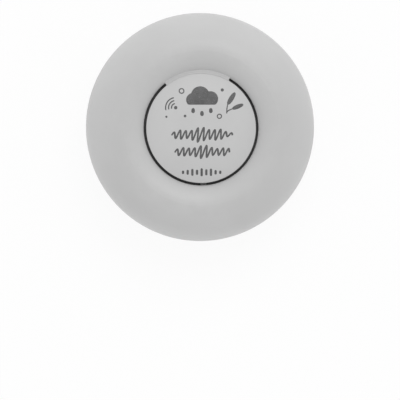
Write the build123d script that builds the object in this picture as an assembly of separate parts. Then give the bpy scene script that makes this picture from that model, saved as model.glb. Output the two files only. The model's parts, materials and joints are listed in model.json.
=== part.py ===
from build123d import *

import math
import os

# A puck-shaped white noise machine, in millimetres. +Z is up, the origin is the centre of the foot's contact
# face, and the charging socket faces -Y. The domed disc on top is one large sprung button, hung on a leaf
# spring at the back. The speaker fires down into a low chamber, and a ring of slots lets the sound out.

# --- Driving dimensions -----------------------------------------------------------------------------------

# Outer form of the case
body_radius = 47.5
crest_radius = 31.7  # the ring of highest points
upper_height = 22.0  # parting line to crest
band_height = 0.4  # straight band between the widest section and the parting line
lower_height = 22.2  # flat base to the widest section
base_radius = 28.9  # where the flat base ends
bowl_exponent = 1.77  # 2 is an ellipse, less is a flatter curve
bowl_steps = 12  # points that shape the curve
wall = 2.2
seam_groove = 0.22

# Dished top
hole_radius = 23.5
recess_drop = 3.8  # crest to the edge of the hole
recess_span = 14.0  # half axis of the dished slope's ellipse
rim_round = 0.2

# Lip that lines the two shells up
lip_thickness = 0.8
lip_height = 1.5
lip_gap = 0.1

# Snap hooks that hold the two shells together
hook_azimuths = (20, 90, 160, 220, 320)
hook_setback = 3.4  # from the inside of the wall
hook_thickness = 1.3
hook_width = 6.0
hook_foot_height = 2.5
hook_foot_drop = 4.2  # parting line to the underside of a hook's foot
hook_barb_reach = 1.1
hook_barb_height = 1.6
hook_gap = 0.2
catch_height = 1.2
catch_rise = 1.9  # parting line to a catch's underside
catch_width = 7.0

# Foot
foot_height = 1.1  # how far it stands proud of the base
foot_outer_radius = 20.0
foot_inner_radius = 14.5
foot_seat_depth = 0.6
foot_gap = 0.05
foot_round = 0.4
base_dish_radius = 12.0
base_dish_depth = 0.25

# Sound slots
slot_count = 60
slot_width = 1.65
slot_length = 5.5
slot_middle_rise = 6.15  # above the base
slot_tilt = 45.0  # a slot's length and its cut lie at this angle
slot_wall = 1.4  # the wall is thinner where the slots go through
cloth_thickness = 0.35
cloth_gap = 0.05
cloth_edge_gap = 0.2
cloth_low_rise = 4.4
cloth_high_rise = 9.9

# Press disc
gap_width = 1.1  # the C-shaped gap round the disc
gap_start = 130.0  # azimuths, in degrees from +X
gap_end = 418.8
crease_gap = 0.08
edge_rise = 1.0  # how far the disc's edge stands above the rim
dome_height = 2.2  # above that edge
dome_edge_slope = 12.5  # degrees
crease_slope = 35.0
disc_thickness = 1.8
disc_round = 0.25
press_angle = 0.7  # degrees of travel
stem_radius = 2.0
stem_inset = 5.4  # from the disc's edge at -Y
stem_rib_reach = 3.6
stem_rib_thickness = 1.0
stem_rib_rise = 4.0  # the ribs start this far above the stem's tip
press_gap = 0.05

# Lip of the cover over the crease
lip_over_reach = 0.5  # from the hole's edge up the dished slope
lip_over_gap = 0.07  # above the disc
lip_over_edge = 0.1  # its thickness where it ends on the disc
lip_over_end_angle = 1.4  # past each end of the gap

# Dark film under the gap, bonded inside the cover
skirt_thickness = 0.25
skirt_gap = 0.05
skirt_overlap = 1.0  # how far it reaches under the disc
skirt_bond = 2.0  # how far it reaches out past the hole
skirt_end_angle = 2.5  # past each end of the gap
skirt_stop_gap = 0.3  # each side of the stop's arm

# Travel stop under the disc's free edge
stop_azimuth = 272.5
stop_width = 2.4
stop_overlap = 1.6  # how far it reaches under the disc
stop_thickness = 1.5
stop_sink = 1.6  # its arm passes this far below its tip
stop_riser = 2.3
stop_gap = 0.05

# Leaf spring hinge
leaf_width = 16.0
leaf_thickness = 0.3
leaf_drop = 0.5  # below the underside of the rim
leaf_reach = 7.0  # each way from the hinge line
leaf_hole_reach = 4.6
leaf_hole_spacing = 10.0
leaf_boss_radius = 1.9

# Small screws
small_screw_radius = 0.7
small_head_radius = 1.4
small_head_height = 0.8
small_screw_length = 2.6
case_screw_radius = 0.9
case_head_radius = 1.9
case_head_height = 1.3
case_screw_length = 6.0
screw_gap = 0.03
clear_gap = 0.25  # a plain hole round a screw's shank
drive_share = 0.55  # drive recess, as a share of the head's radius
drive_width = 0.35
boss_radius = 2.4

# Speaker plate
plate_rise = 10.1  # base to the plate's underside
plate_thickness = 2.0
plate_gap = 0.3
post_cloth_gap = 0.75  # between a post and the cloth's inner edge
plate_post_azimuths = (30, 150, 210, 330)
post_radius = 2.7

# Speaker
roll_clearance = 0.1  # between the surround's roll and the plate's hole
flange_setback = 0.1  # the flange's bore is larger than the plate's hole
gasket_thickness = 0.5
gasket_inset = 0.2  # from the plate's hole and from the flange's edge
surround_thickness = 0.3
surround_lip_inset = 0.6  # from the flange's edge
roll_radius = 0.9
roll_middle_radius = 16.4
surround_bond = 0.7
flange_radius = 20.0
flange_thickness = 1.2
ear_radius = 2.4
ear_reach = 1.6  # the flange's edge to the middle of an ear
ear_azimuths = (45, 135, 225, 315)
basket_wall = 1.0
basket_depth = 5.0  # flange front to the pot's open end
basket_ring_wall = 2.0
basket_ring_height = 1.6
window_count = 6
window_angle = 34.0
pot_depth = 8.0
pot_wall = 1.4
pot_floor = 1.6
pole_radius = 8.4
pole_overhang = 0.2  # how far it reaches past the magnet
pole_height = 1.4
pole_recess = 0.2
coil_gap = 0.35
coil_thickness = 0.5
coil_length = 5.0
coil_front = 3.4  # flange front to the coil's front end
cone_thickness = 0.4
cap_thickness = 0.3
cap_height = 2.0
spider_front = 4.1  # flange front to the spider
spider_thickness = 0.3
terminal_width = 9.0
terminal_height = 4.0
terminal_thickness = 0.45
lug_spacing = 5.0
lug_width = 1.8
lug_reach = 1.0
lug_height = 2.4

# Charging socket, USB-C
port_rise = 0.1  # above the parting line
port_opening_width = 9.9
port_opening_height = 3.3
socket_width = 8.94
socket_height = 3.2
socket_length = 7.3
socket_wall = 0.3
socket_setback = 1.2  # behind the case's outer face
tongue_width = 6.7
tongue_thickness = 0.7
tongue_setback = 0.5
socket_back_thickness = 1.2
light_offset = 7.6  # from the socket's centre
light_radius = 0.7
light_gap = 0.05
light_setback = 0.8
light_length = 3.9
led_width = 2.8
led_depth = 1.2
led_height = 2.2

# Flap of the top cover that carries the socket's opening
flap_left = 7.1
flap_right = 9.65
flap_drop = 3.8
flap_round = 3.4
flap_gap = 0.22
flap_rise = 2.6  # how far its root reaches up inside the cover

# Main board
board_thickness = 1.2
board_hook_gap = 0.7
board_inner_edge = 13.5
board_ear_setback = 2.1  # from the inside of the wall
board_ear_left = 7.5
board_ear_right = 10.5
board_corner = 2.0
board_boss_inset = 3.2
board_boss_azimuths = (208.6, 258.0, 282.0, 331.4)

# Parts on the board
switch_side = 6.0
switch_height = 3.5
plunger_radius = 1.7
plunger_rise = 1.5
plunger_depth = 1.0
plunger_travel = 0.5
plunger_gap = 0.05
switch_floor_gap = 0.2
header_width = 5.6
header_depth = 5.0
header_height = 3.6
header_wall = 0.5
header_inset = 14.9  # from the corner of the board, along its inner edge
header_setback = 0.6
plug_gap = 0.05
plug_out = 1.6
chip_height = 1.6
chip_width = 3.9
chip_lift = 0.16
chip_leg_reach = 0.98
chip_leg_share = 0.4  # of the pins' pitch
long_chip_length = 9.9
long_chip_pins = 8  # down each side
short_chip_length = 4.9
short_chip_pins = 4
switch_to_resistors = 2.5  # the switch's side to the first row's middle
resistors_to_chips = 4.5
chips_to_resistors = 5.5
sound_chip_x = -11.5
memory_chip_x = 2.5
amplifier_chip_x = 13.0
inductor_inset = 4.3  # from the board's edge
inductor_azimuth = 310.6
inductor_side = 6.0
inductor_height = 3.0
inductor_round = 1.2
inductor_chamfer = 0.4
can_inset = 3.7  # from the board's edge
can_azimuths = (219.0, 229.5)
can_radius = 2.4
can_height = 5.2
can_foot = 1.0
can_foot_margin = 0.12
resistor_size = (0.8, 1.6, 0.5)
near_resistor_columns = (-6.0, -3.0, 0.0, 3.0, 6.0)
far_resistor_columns = (-3.0, 0.0, 3.0)

# Leads, each between the way points below
lead_pitch = 1.4
lead_radius = 0.5
lead_bend = 0.45  # share of the shorter run that a bend takes
speaker_lead_out = 2.9  # from the lug, along X
speaker_lead_turn_x = 1.0  # from the plug's lead, outwards
speaker_lead_turn_y = 4.0  # from the lug, towards the board
speaker_lead_end_y = 7.0
speaker_lead_spread = 0.6
battery_lead_out = 4.5  # from the cell, towards the board
battery_lead_turn_x = 6.5
battery_lead_turn_y = 11.0
battery_lead_end_y = 18.0
battery_lead_fall = 0.4  # share of the way down at the turn

# Battery
cell_length = 36.0
cell_height = 8.0
cell_round = 1.2
cell_lead_rise = 5.6  # above the cell's underside
cell_lead_x = -15.0
tape_thickness = 0.4
tray_gap = 0.3
tray_basket_gap = 0.5
tray_shell_gap = 2.6  # between the tray's outer corners and the inside of the wall
tray_wall = 1.0
tray_floor = 1.2
tray_wall_height = 5.0
tray_rise = 0.6  # the basket's shoulder to the tray's underside
tray_ear_reach = 4.7  # the tray's end to the middle of an ear
tray_ear_radius = 2.9

# --- Places worked out from them --------------------------------------------------------------------------

base_z = foot_height
widest_z = base_z + lower_height
parting_z = widest_z + band_height
crest_z = parting_z + upper_height
rim_z = crest_z - recess_drop
recess_sweep = math.degrees(math.asin((crest_radius - hole_radius) / recess_span))
recess_height = recess_drop / (1 - math.cos(math.radians(recess_sweep)))
inner_radius = body_radius - wall
hook_inner_radius = inner_radius - hook_setback
slot_z = base_z + slot_middle_rise
disc_radius = hole_radius - gap_width
disc_edge_z = rim_z + edge_rise
disc_top_z = disc_edge_z + dome_height
leaf_top_z = rim_z - wall - leaf_drop
stem_offset = disc_radius - stem_inset  # from the centre towards -Y
hinge_azimuth = (gap_start + gap_end - 360) / 2
hinge_radius = hole_radius - crease_gap
press_drop = math.sin(math.radians(press_angle))
port_z = parting_z + port_rise
board_radius = hook_inner_radius - board_hook_gap
board_ear_reach = inner_radius - board_ear_setback
board_boss_radius = board_radius - board_boss_inset
header_offset = math.sqrt(board_radius**2 - board_inner_edge**2) - header_inset
board_top_z = port_z - socket_height / 2
board_bottom_z = board_top_z - board_thickness
plate_bottom_z = base_z + plate_rise
plate_top_z = plate_bottom_z + plate_thickness
speaker_hole_radius = roll_middle_radius + roll_radius + roll_clearance
flange_inner_radius = speaker_hole_radius + flange_setback
ear_middle_radius = flange_radius + ear_reach
flange_z = plate_top_z + gasket_thickness + surround_thickness
flange_back_z = flange_z + flange_thickness
pot_front_z = flange_z + basket_depth
pot_back_z = pot_front_z + pot_depth
pole_front_z = pot_front_z + pole_recess
coil_z = flange_z + coil_front
coil_inner_radius = pole_radius + coil_gap
coil_outer_radius = coil_inner_radius + coil_thickness
pot_radius = coil_outer_radius + coil_gap + pot_wall
basket_ring_radius = pot_radius + basket_ring_wall
cone_rim_radius = roll_middle_radius - roll_radius
spider_z = flange_z + spider_front
switch_top_z = board_top_z + switch_height
plunger_top_z = switch_top_z + plunger_rise
resistor_row_y = -stem_offset - switch_side / 2 - switch_to_resistors
chip_row_y = resistor_row_y - resistors_to_chips
far_row_y = chip_row_y - chips_to_resistors
tray_z = pot_front_z + tray_rise + tray_floor
cell_z = tray_z + tape_thickness
cell_inner_edge = basket_ring_radius + tray_basket_gap + tray_wall + tray_gap
tray_half_length = cell_length / 2 + tray_gap + tray_wall
tray_outer_edge = math.sqrt((inner_radius - tray_shell_gap) ** 2 - tray_half_length**2)
cell_width = tray_outer_edge - tray_wall - tray_gap - cell_inner_edge
cell_middle_y = cell_inner_edge + cell_width / 2
tray_ear_offset = tray_half_length + tray_ear_reach
overshoot = 5.0  # how far a cutting shape passes the faces it cuts


# --- Shared shapes ----------------------------------------------------------------------------------------


def polar(radius, azimuth):
    """X and Y of a point given by radius and azimuth in degrees."""
    angle = math.radians(azimuth)
    return radius * math.cos(angle), radius * math.sin(angle)


def board_boss_places():
    return [polar(board_boss_radius, azimuth) for azimuth in board_boss_azimuths]


def turned(*edges):
    """The solid that a closed outline of (radius, height) makes when it turns about Z."""
    return revolve(Plane.XZ * make_face(edges), Axis.Z)


def turned_corners(*points):
    """The same for an outline that has straight sides only."""
    return turned(*Polyline(*points, close=True).edges())


def ring(inner, outer, bottom, top):
    """A ring with square edges about Z."""
    return turned_corners((inner, bottom), (outer, bottom), (outer, top), (inner, top))


def post(place, radius, bottom, top):
    """An upright cylinder between two heights."""
    x, y = place
    return Pos(x, y, (bottom + top) / 2) * Cylinder(radius, top - bottom)


def block(x_range, y_range, z_range):
    """A box between three pairs of coordinates."""
    sizes = [high - low for low, high in (x_range, y_range, z_range)]
    middles = [(low + high) / 2 for low, high in (x_range, y_range, z_range)]
    return Pos(*middles) * Box(*sizes)


def upright_prism(sketch, bottom, top):
    """A flat sketch in X and Y, raised between two heights."""
    return Pos(0, 0, bottom) * extrude(sketch, top - bottom)


def wall_cutter(sketch, x, z):
    """A sketch in X and Z pushed through the case's -Y wall."""
    start = Plane(origin=(x, -hook_inner_radius, z), x_dir=(1, 0, 0), z_dir=(0, -1, 0))
    return extrude(start * sketch, hook_setback + wall + overshoot)


def bowl_curve(inset):
    """The lower half's side, from the flat base to the widest section: a superellipse inset by a wall."""
    half_width = body_radius - base_radius - inset
    half_height = lower_height - inset
    power = 2 / bowl_exponent
    points = []
    for step in range(bowl_steps + 1):
        turn = math.radians(90 * step / bowl_steps)
        out = half_width * math.sin(turn) ** power
        down = half_height * math.cos(turn) ** power
        points.append((base_radius + out, widest_z - down))
    return Spline(*points, tangents=((1, 0), (0, 1)))


def bowl_radius(height):
    """The radius of the lower half's outer side at a height."""
    down = (widest_z - height) / lower_height
    return base_radius + (body_radius - base_radius) * (1 - down**bowl_exponent) ** (1 / bowl_exponent)


def body_form(inset):
    """The closed form of the whole case, inset by a wall, with a flat lid where the disc's hole will be."""
    side = body_radius - inset
    lid_z = rim_z - inset
    floor_z = base_z + inset
    return turned(
        Line((0, floor_z), (base_radius, floor_z)),
        bowl_curve(inset),
        Line((side, widest_z), (side, parting_z)),
        EllipticalCenterArc(
            (crest_radius, parting_z), side - crest_radius, upper_height - inset, start_angle=0, arc_size=90
        ),
        EllipticalCenterArc(
            (crest_radius, crest_z - inset - recess_height),
            recess_span,
            recess_height,
            start_angle=90,
            arc_size=recess_sweep,
        ),
        Line((hole_radius, lid_z), (0, lid_z)),
        Line((0, lid_z), (0, floor_z)),
    )


def whole_shell():
    """The case's wall all round, with the disc's hole and the groove along the parting line."""
    hole = post((0, 0), hole_radius, rim_z - wall - overshoot, crest_z)
    groove = turned_corners(
        (body_radius - seam_groove, parting_z),
        (body_radius + seam_groove, parting_z - 2 * seam_groove),
        (body_radius + seam_groove, parting_z + 2 * seam_groove),
    )
    return body_form(0) - body_form(wall) - hole - groove


def dome_curve(drop):
    """The disc's domed top line, lowered by a distance; past the disc's edge it falls into the crease."""
    points = ((0, disc_top_z - drop), (disc_radius, disc_edge_z - drop), (hole_radius, rim_z - drop))
    slopes = [math.radians(angle) for angle in (0, dome_edge_slope, crease_slope)]
    return Spline(*points, tangents=[(math.cos(slope), -math.sin(slope)) for slope in slopes])


def under_dome(drop, bottom):
    """Everything under the dome line lowered by a distance, down to a height."""
    return turned(
        dome_curve(drop),
        Line((hole_radius, rim_z - drop), (hole_radius, bottom)),
        Line((hole_radius, bottom), (0, bottom)),
        Line((0, bottom), (0, disc_top_z - drop)),
    )


def screw(place, seat_z, length, shank, head, head_height):
    """A pan-head screw that goes up from a seat, with a cross recess in its head."""
    x, y = place
    solid = post(place, shank, seat_z, seat_z + length)
    solid += post(place, head, seat_z - head_height, seat_z)
    reach = head * drive_share
    for turn in (0, 90):
        bar = Box(2 * reach, drive_width, head_height)
        solid -= Pos(x, y, seat_z - head_height) * Rot(0, 0, turn) * bar
    return solid


def downward_screw(place, seat_z, length, shank, head, head_height):
    """The same screw driven down from above its seat."""
    x, y = place
    flip = Pos(x, y, seat_z) * Rot(180, 0, 0)
    return flip * screw((0, 0), 0, length, shank, head, head_height)


def small_screw(place, seat_z):
    return screw(place, seat_z, small_screw_length, small_screw_radius, small_head_radius, small_head_height)


def case_screw(place, seat_z, length):
    return screw(place, seat_z, length, case_screw_radius, case_head_radius, case_head_height)


def lead(points):
    """A wire's tube along straight runs that tangent arcs join."""
    spots = [Vector(*point) for point in points]
    runs = [after - before for before, after in zip(spots, spots[1:])]
    radii = []
    for before, after in zip(runs, runs[1:]):
        half_turn = math.radians(before.get_angle(after)) / 2
        shorter = min(before.length, after.length)
        radii.append(lead_bend * shorter / math.tan(half_turn))
    path = FilletPolyline(*spots, radius=radii)
    start = Plane(origin=path @ 0, z_dir=path % 0)
    return sweep(start * Circle(lead_radius), path=path)


# --- Case -------------------------------------------------------------------------------------------------


def leaf_places(side):
    """The leaf spring's hole places on one side of the hinge line: -1 for the disc, 1 for the cover."""
    spin = math.radians(hinge_azimuth - 90)
    places = []
    for across in (-leaf_hole_spacing / 2, leaf_hole_spacing / 2):
        along = hinge_radius + side * leaf_hole_reach
        x = across * math.cos(spin) - along * math.sin(spin)
        y = across * math.sin(spin) + along * math.cos(spin)
        places.append((x, y))
    return places


def flap_sketch(grow):
    """The flap's outline below the parting line, grown by a gap."""
    width = flap_left + flap_right + 2 * grow
    height = 2 * (flap_drop + grow)
    middle = (flap_right - flap_left) / 2
    return Pos(middle, 0) * RectangleRounded(width, height, flap_round + grow)


def port_cuts():
    """The socket's stadium opening and the round hole of the charge light."""
    opening = wall_cutter(SlotOverall(port_opening_width, port_opening_height), 0, port_z)
    light_hole = wall_cutter(Circle(light_radius + light_gap), light_offset, port_z)
    return opening + light_hole


def flap():
    """A tab of the lower wall that hangs from the cover and holds the socket's opening."""
    whole_wall = body_form(0) - body_form(wall)
    below = wall_cutter(flap_sketch(0), 0, parting_z)
    top = parting_z + lip_height + flap_rise
    limits = block((-flap_left, flap_right), (-body_radius, 0), (parting_z - flap_drop, top))
    root = block((-flap_left, flap_right), (-body_radius, 0), (parting_z, top))
    return whole_wall & (below + root) & limits


def stop_tab():
    """The hooked arm under the disc's free edge that ends its travel."""
    edge_drop = (hinge_radius + disc_radius) * press_drop
    top = disc_edge_z - disc_thickness - edge_drop - stop_gap
    arm_top = top - stop_sink
    arm_bottom = arm_top - stop_thickness
    inner = disc_radius - stop_overlap
    outer = hole_radius + stop_riser
    across = (-stop_width / 2, stop_width / 2)
    hooked = block((inner, outer), across, (arm_bottom, arm_top))
    hooked += block((inner, disc_radius), across, (arm_bottom, top))
    hooked += block((hole_radius, outer), across, (arm_bottom, crest_z))
    return Rot(0, 0, stop_azimuth) * hooked & body_form(wall / 2)


def hinge_sector(radius, end_angle):
    """An upright wedge at the hinge side, from one end of the gap to the other, less an angle at each end."""
    start = gap_end - 360 + end_angle
    open_arc = CenterArc((0, 0), radius, start, gap_start - end_angle - start)
    first, last = open_arc @ 0, open_arc @ 1
    outline = make_face([open_arc, Line(last, (0, 0)), Line((0, 0), first)])
    return upright_prism(outline, 0, crest_z)


def crease_lip():
    """A thin lip of the cover over the disc's hinge edge, which leaves a soft valley there."""
    outer = hole_radius + lip_over_reach
    out = (crest_radius - outer) / recess_span
    outer_z = crest_z - recess_height * (1 - math.sqrt(1 - out**2))
    rise = recess_height * out / (recess_span * math.sqrt(1 - out**2))
    fall = math.tan(math.radians(dome_edge_slope))
    inner_z = disc_edge_z + lip_over_gap + lip_over_edge
    valley = Spline((disc_radius, inner_z), (outer, outer_z), tangents=((1, -fall), (1, rise)))
    root_z = rim_z - wall / 2
    lip = turned(
        valley,
        Line((outer, outer_z), (outer, root_z)),
        Line((outer, root_z), (disc_radius, root_z)),
        Line((disc_radius, root_z), (disc_radius, inner_z)),
    )
    lip -= under_dome(-lip_over_gap, root_z - overshoot)
    return lip & hinge_sector(2 * outer, lip_over_end_angle)


def gap_skirt():
    """Two curved strips of film under the gap, one each side of the travel stop, against light and dust."""
    top = wall + skirt_gap
    film = body_form(top) - body_form(top + skirt_thickness)
    outer = hole_radius + skirt_bond
    film &= ring(disc_radius - skirt_overlap, outer, leaf_top_z - overshoot, crest_z)
    film -= hinge_sector(2 * outer, skirt_end_angle)
    half = stop_width / 2 + skirt_stop_gap
    return film - Rot(0, 0, stop_azimuth) * block((0, body_radius), (-half, half), (0, crest_z))


def catch(azimuth):
    """A ledge inside the cover that a snap hook's barb rests on."""
    inner = hook_inner_radius + hook_thickness + hook_gap
    low = parting_z + catch_rise
    ledge = block((inner, body_radius), (-catch_width / 2, catch_width / 2), (low, low + catch_height))
    return Rot(0, 0, azimuth) * ledge & body_form(wall / 2)


def hook(azimuth):
    """A snap hook of the bottom shell: a foot on the wall, an upright and a barb."""
    outer = hook_inner_radius + hook_thickness
    half = hook_width / 2
    foot_z = parting_z - hook_foot_drop
    barb_z = parting_z + catch_rise + catch_height + hook_gap
    top_z = barb_z + hook_barb_height
    foot = block((hook_inner_radius, body_radius), (-half, half), (foot_z, foot_z + hook_foot_height))
    upright = block((hook_inner_radius, outer), (-half, half), (foot_z, top_z))
    barb_outline = Polyline(
        (outer, barb_z), (outer + hook_barb_reach, barb_z), (outer, top_z), close=True
    )
    barb = Pos(0, half, 0) * extrude(Plane.XZ * make_face(barb_outline), hook_width)
    return Rot(0, 0, azimuth) * ((foot & body_form(wall / 2)) + upright + barb)


def top_cover():
    upper = block((-body_radius, body_radius), (-body_radius, body_radius), (parting_z, crest_z))
    cover = whole_shell() & upper
    rebate_top = parting_z + lip_height + lip_gap
    cover -= ring(inner_radius - overshoot, inner_radius + lip_thickness + lip_gap, parting_z, rebate_top)
    cover += flap()
    hanging = [post(place, boss_radius, board_top_z, crest_z) for place in board_boss_places()]
    hanging += [post(place, boss_radius, tray_z, crest_z) for place in tray_places()]
    hanging += [post(place, leaf_boss_radius, leaf_top_z, crest_z) for place in leaf_places(1)]
    middle_of_wall = body_form(wall / 2)
    for pillar in hanging:
        cover += pillar & middle_of_wall
    for azimuth in hook_azimuths:
        cover += catch(azimuth)
    cover += stop_tab()
    depth = case_screw_length + overshoot
    for place in board_boss_places():
        cover -= post(place, case_screw_radius + screw_gap, board_top_z - overshoot, board_top_z + depth)
    for place in tray_places():
        cover -= post(place, case_screw_radius + screw_gap, tray_z - overshoot, tray_z + depth)
    for place in leaf_places(1):
        top = leaf_top_z + small_screw_length
        cover -= post(place, small_screw_radius + screw_gap, leaf_top_z - overshoot, top)
    cover -= port_cuts()
    rim = cover.edges().filter_by(GeomType.CIRCLE)
    rim = rim.filter_by(lambda edge: abs(edge.radius - hole_radius) < rim_round / 3)
    rim = rim.filter_by(lambda edge: abs(edge.center().Z - rim_z) < rim_round / 3)
    return fillet(rim, rim_round) + crease_lip()


def slot_cutters():
    """The ring of round-ended sound slots, each cut square to the wall."""
    direction = math.radians(slot_tilt)
    out = (math.cos(direction), 0, -math.sin(direction))
    middle = (bowl_radius(slot_z), 0, slot_z)
    plane = Plane(origin=middle, x_dir=(math.sin(direction), 0, math.cos(direction)), z_dir=out)
    cutter = extrude(plane * SlotOverall(slot_length, slot_width), wall, both=True)
    return [Rot(0, 0, 270 + 360 * index / slot_count) * cutter for index in range(slot_count)]


def cloth_inner_radius():
    """How far in the cloth's band may reach, and where the space for the plate's posts ends."""
    return bowl_radius(slot_z) - slot_length


def band_behind_slots(near, far, margin):
    """The space between two depths behind the case's outer face, at the cloth's height and wider by a margin."""
    height = (base_z + cloth_low_rise - margin, base_z + cloth_high_rise + margin)
    band = block((-body_radius, body_radius), (-body_radius, body_radius), height)
    layer = body_form(near) - body_form(far)
    return (layer & band) - post((0, 0), cloth_inner_radius() - margin, 0, crest_z)


def plate_post_places():
    radius = cloth_inner_radius() - post_radius - post_cloth_gap
    return [polar(radius, azimuth) for azimuth in plate_post_azimuths]


def bottom_shell():
    lower = block((-body_radius, body_radius), (-body_radius, body_radius), (0, parting_z))
    shell = whole_shell() & lower
    shell -= band_behind_slots(slot_wall, wall + overshoot, cloth_edge_gap)
    shell += ring(inner_radius, inner_radius + lip_thickness, parting_z, parting_z + lip_height)
    shell -= wall_cutter(flap_sketch(flap_gap), 0, parting_z)
    for azimuth in hook_azimuths:
        shell += hook(azimuth)
    middle_of_wall = body_form(wall / 2)
    for place in plate_post_places():
        shell += post(place, post_radius, 0, plate_bottom_z) & middle_of_wall
    for place in plate_post_places():
        deep = plate_bottom_z + plate_thickness - case_screw_length - screw_gap
        shell -= post(place, case_screw_radius + screw_gap, deep, plate_bottom_z + overshoot)
    seat_top = base_z + foot_seat_depth
    shell -= ring(foot_inner_radius - foot_gap, foot_outer_radius + foot_gap, 0, seat_top)
    shell -= post((0, 0), base_dish_radius, 0, base_z + base_dish_depth)
    shell -= slot_cutters()
    return shell


def foot_ring():
    foot = ring(foot_inner_radius, foot_outer_radius, 0, base_z + foot_seat_depth)
    return fillet(foot.edges().group_by(Axis.Z)[0], foot_round)


def vent_cloth():
    """A strip of open cloth bonded behind the slots."""
    near = slot_wall + cloth_gap
    return band_behind_slots(near, near + cloth_thickness, 0)


# --- Press disc -------------------------------------------------------------------------------------------


def press_disc():
    """The domed plate, with the stem that works the switch and two bosses for the leaf spring."""
    middle_line = CenterArc((0, 0), (disc_radius + hole_radius) / 2, gap_start, gap_end - gap_start)
    plan = Circle(hinge_radius) - SlotArc(middle_line, gap_width)
    plate = under_dome(0, leaf_top_z) - under_dome(disc_thickness, leaf_top_z - overshoot)
    plate &= upright_prism(plan, leaf_top_z, crest_z)
    top_face = plate.faces().sort_by(Axis.Z)[-1]
    plate = fillet(top_face.edges(), disc_round)
    tip_z = plunger_top_z + press_gap
    stem_place = (0, -stem_offset)
    below = post(stem_place, stem_radius, tip_z, crest_z)
    for turn in (0, 90):
        rib = Box(2 * stem_rib_reach, stem_rib_thickness, crest_z - tip_z - stem_rib_rise)
        height = (crest_z + tip_z + stem_rib_rise) / 2
        below += Pos(0, -stem_offset, height) * Rot(0, 0, turn) * rib
    for place in leaf_places(-1):
        below += post(place, leaf_boss_radius, leaf_top_z, crest_z)
    plate += below & under_dome(disc_thickness / 2, tip_z - overshoot)
    for place in leaf_places(-1):
        top = leaf_top_z + small_screw_length
        plate -= post(place, small_screw_radius + screw_gap, leaf_top_z - overshoot, top)
    return plate


def disc_leaf_spring():
    """A flat steel leaf that bends at the hinge line."""
    strip = RectangleRounded(leaf_width, 2 * leaf_reach, leaf_boss_radius)
    leaf = Rot(0, 0, hinge_azimuth - 90) * Pos(0, hinge_radius, 0) * strip
    solid = upright_prism(leaf, leaf_top_z - leaf_thickness, leaf_top_z)
    for place in leaf_places(-1) + leaf_places(1):
        solid -= post(place, small_screw_radius + clear_gap, leaf_top_z - overshoot, leaf_top_z + overshoot)
    return solid


def leaf_screws(side):
    return [small_screw(place, leaf_top_z - leaf_thickness) for place in leaf_places(side)]


# --- Speaker ----------------------------------------------------------------------------------------------


def speaker_plate():
    """The plate that carries the speaker and closes off the sound chamber."""
    edge = body_form(wall + plate_gap)
    slab = block((-body_radius, body_radius), (-body_radius, body_radius), (plate_bottom_z, plate_top_z))
    plate = edge & slab
    plate -= post((0, 0), speaker_hole_radius, 0, crest_z)
    for place in plate_post_places():
        plate -= post(place, case_screw_radius + clear_gap, 0, crest_z)
    for azimuth in ear_azimuths:
        plate -= post(polar(ear_middle_radius, azimuth), small_screw_radius + screw_gap, 0, crest_z)
    return plate


def plate_screws():
    sizes = (case_screw_length, case_screw_radius, case_head_radius, case_head_height)
    return [downward_screw(place, plate_top_z, *sizes) for place in plate_post_places()]


def speaker_gasket():
    inner = speaker_hole_radius + gasket_inset
    outer = flange_radius - gasket_inset
    return ring(inner, outer, plate_top_z, plate_top_z + gasket_thickness)


def basket_inner_corner():
    """Where the cone's inside meets the shoulder of the ring."""
    return basket_ring_radius - basket_wall, pot_front_z - basket_wall / 2


def basket_inner_radius(height):
    """The radius of the cone's inside at a height."""
    corner_radius, corner_z = basket_inner_corner()
    share = (height - flange_back_z) / (corner_z - flange_back_z)
    return flange_inner_radius + share * (corner_radius - flange_inner_radius)


def speaker_basket():
    """Flange with four ears, a windowed cone and the ring that the magnet pot sits in."""
    ring_back = pot_front_z + basket_ring_height
    basket = turned_corners(
        (flange_inner_radius, flange_z),
        (flange_radius, flange_z),
        (flange_radius, flange_back_z),
        (flange_inner_radius + 2 * basket_wall, flange_back_z),
        (basket_ring_radius, pot_front_z),
        (basket_ring_radius, ring_back),
        (pot_radius, ring_back),
        (pot_radius, pot_front_z),
        basket_inner_corner(),
        (flange_inner_radius, flange_back_z),
    )
    windows = ring(basket_ring_radius + basket_wall, flange_inner_radius, flange_back_z, crest_z)
    for index in range(window_count):
        wedge = CenterArc((0, 0), flange_radius, -window_angle / 2, window_angle)
        start, end = wedge @ 0, wedge @ 1
        outline = make_face([wedge, Line(end, (0, 0)), Line((0, 0), start)])
        turn = 360 * (index + 0.5) / window_count
        basket -= windows & upright_prism(Rot(0, 0, turn) * outline, flange_z, crest_z)
    for azimuth in ear_azimuths:
        place = polar(ear_middle_radius, azimuth)
        ear = post(place, ear_radius, flange_z, flange_back_z)
        basket += ear - post((0, 0), flange_inner_radius, 0, crest_z)
        basket -= post(place, small_screw_radius + clear_gap, 0, crest_z)
    return basket


def speaker_screws():
    length = flange_z - plate_bottom_z + flange_thickness
    sizes = (length, small_screw_radius, small_head_radius, small_head_height)
    places = [polar(ear_middle_radius, azimuth) for azimuth in ear_azimuths]
    return [downward_screw(place, flange_back_z, *sizes) for place in places]


def speaker_pot():
    bore = pot_radius - pot_wall
    pot = post((0, 0), pot_radius, pot_front_z, pot_back_z)
    return pot - post((0, 0), bore, pot_front_z, pot_back_z - pot_floor)


def speaker_magnet():
    return post((0, 0), pole_radius - pole_overhang, pole_front_z + pole_height, pot_back_z - pot_floor)


def speaker_pole_plate():
    return post((0, 0), pole_radius, pole_front_z, pole_front_z + pole_height)


def voice_coil():
    return ring(coil_inner_radius, coil_outer_radius, coil_z, coil_z + coil_length)


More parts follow.
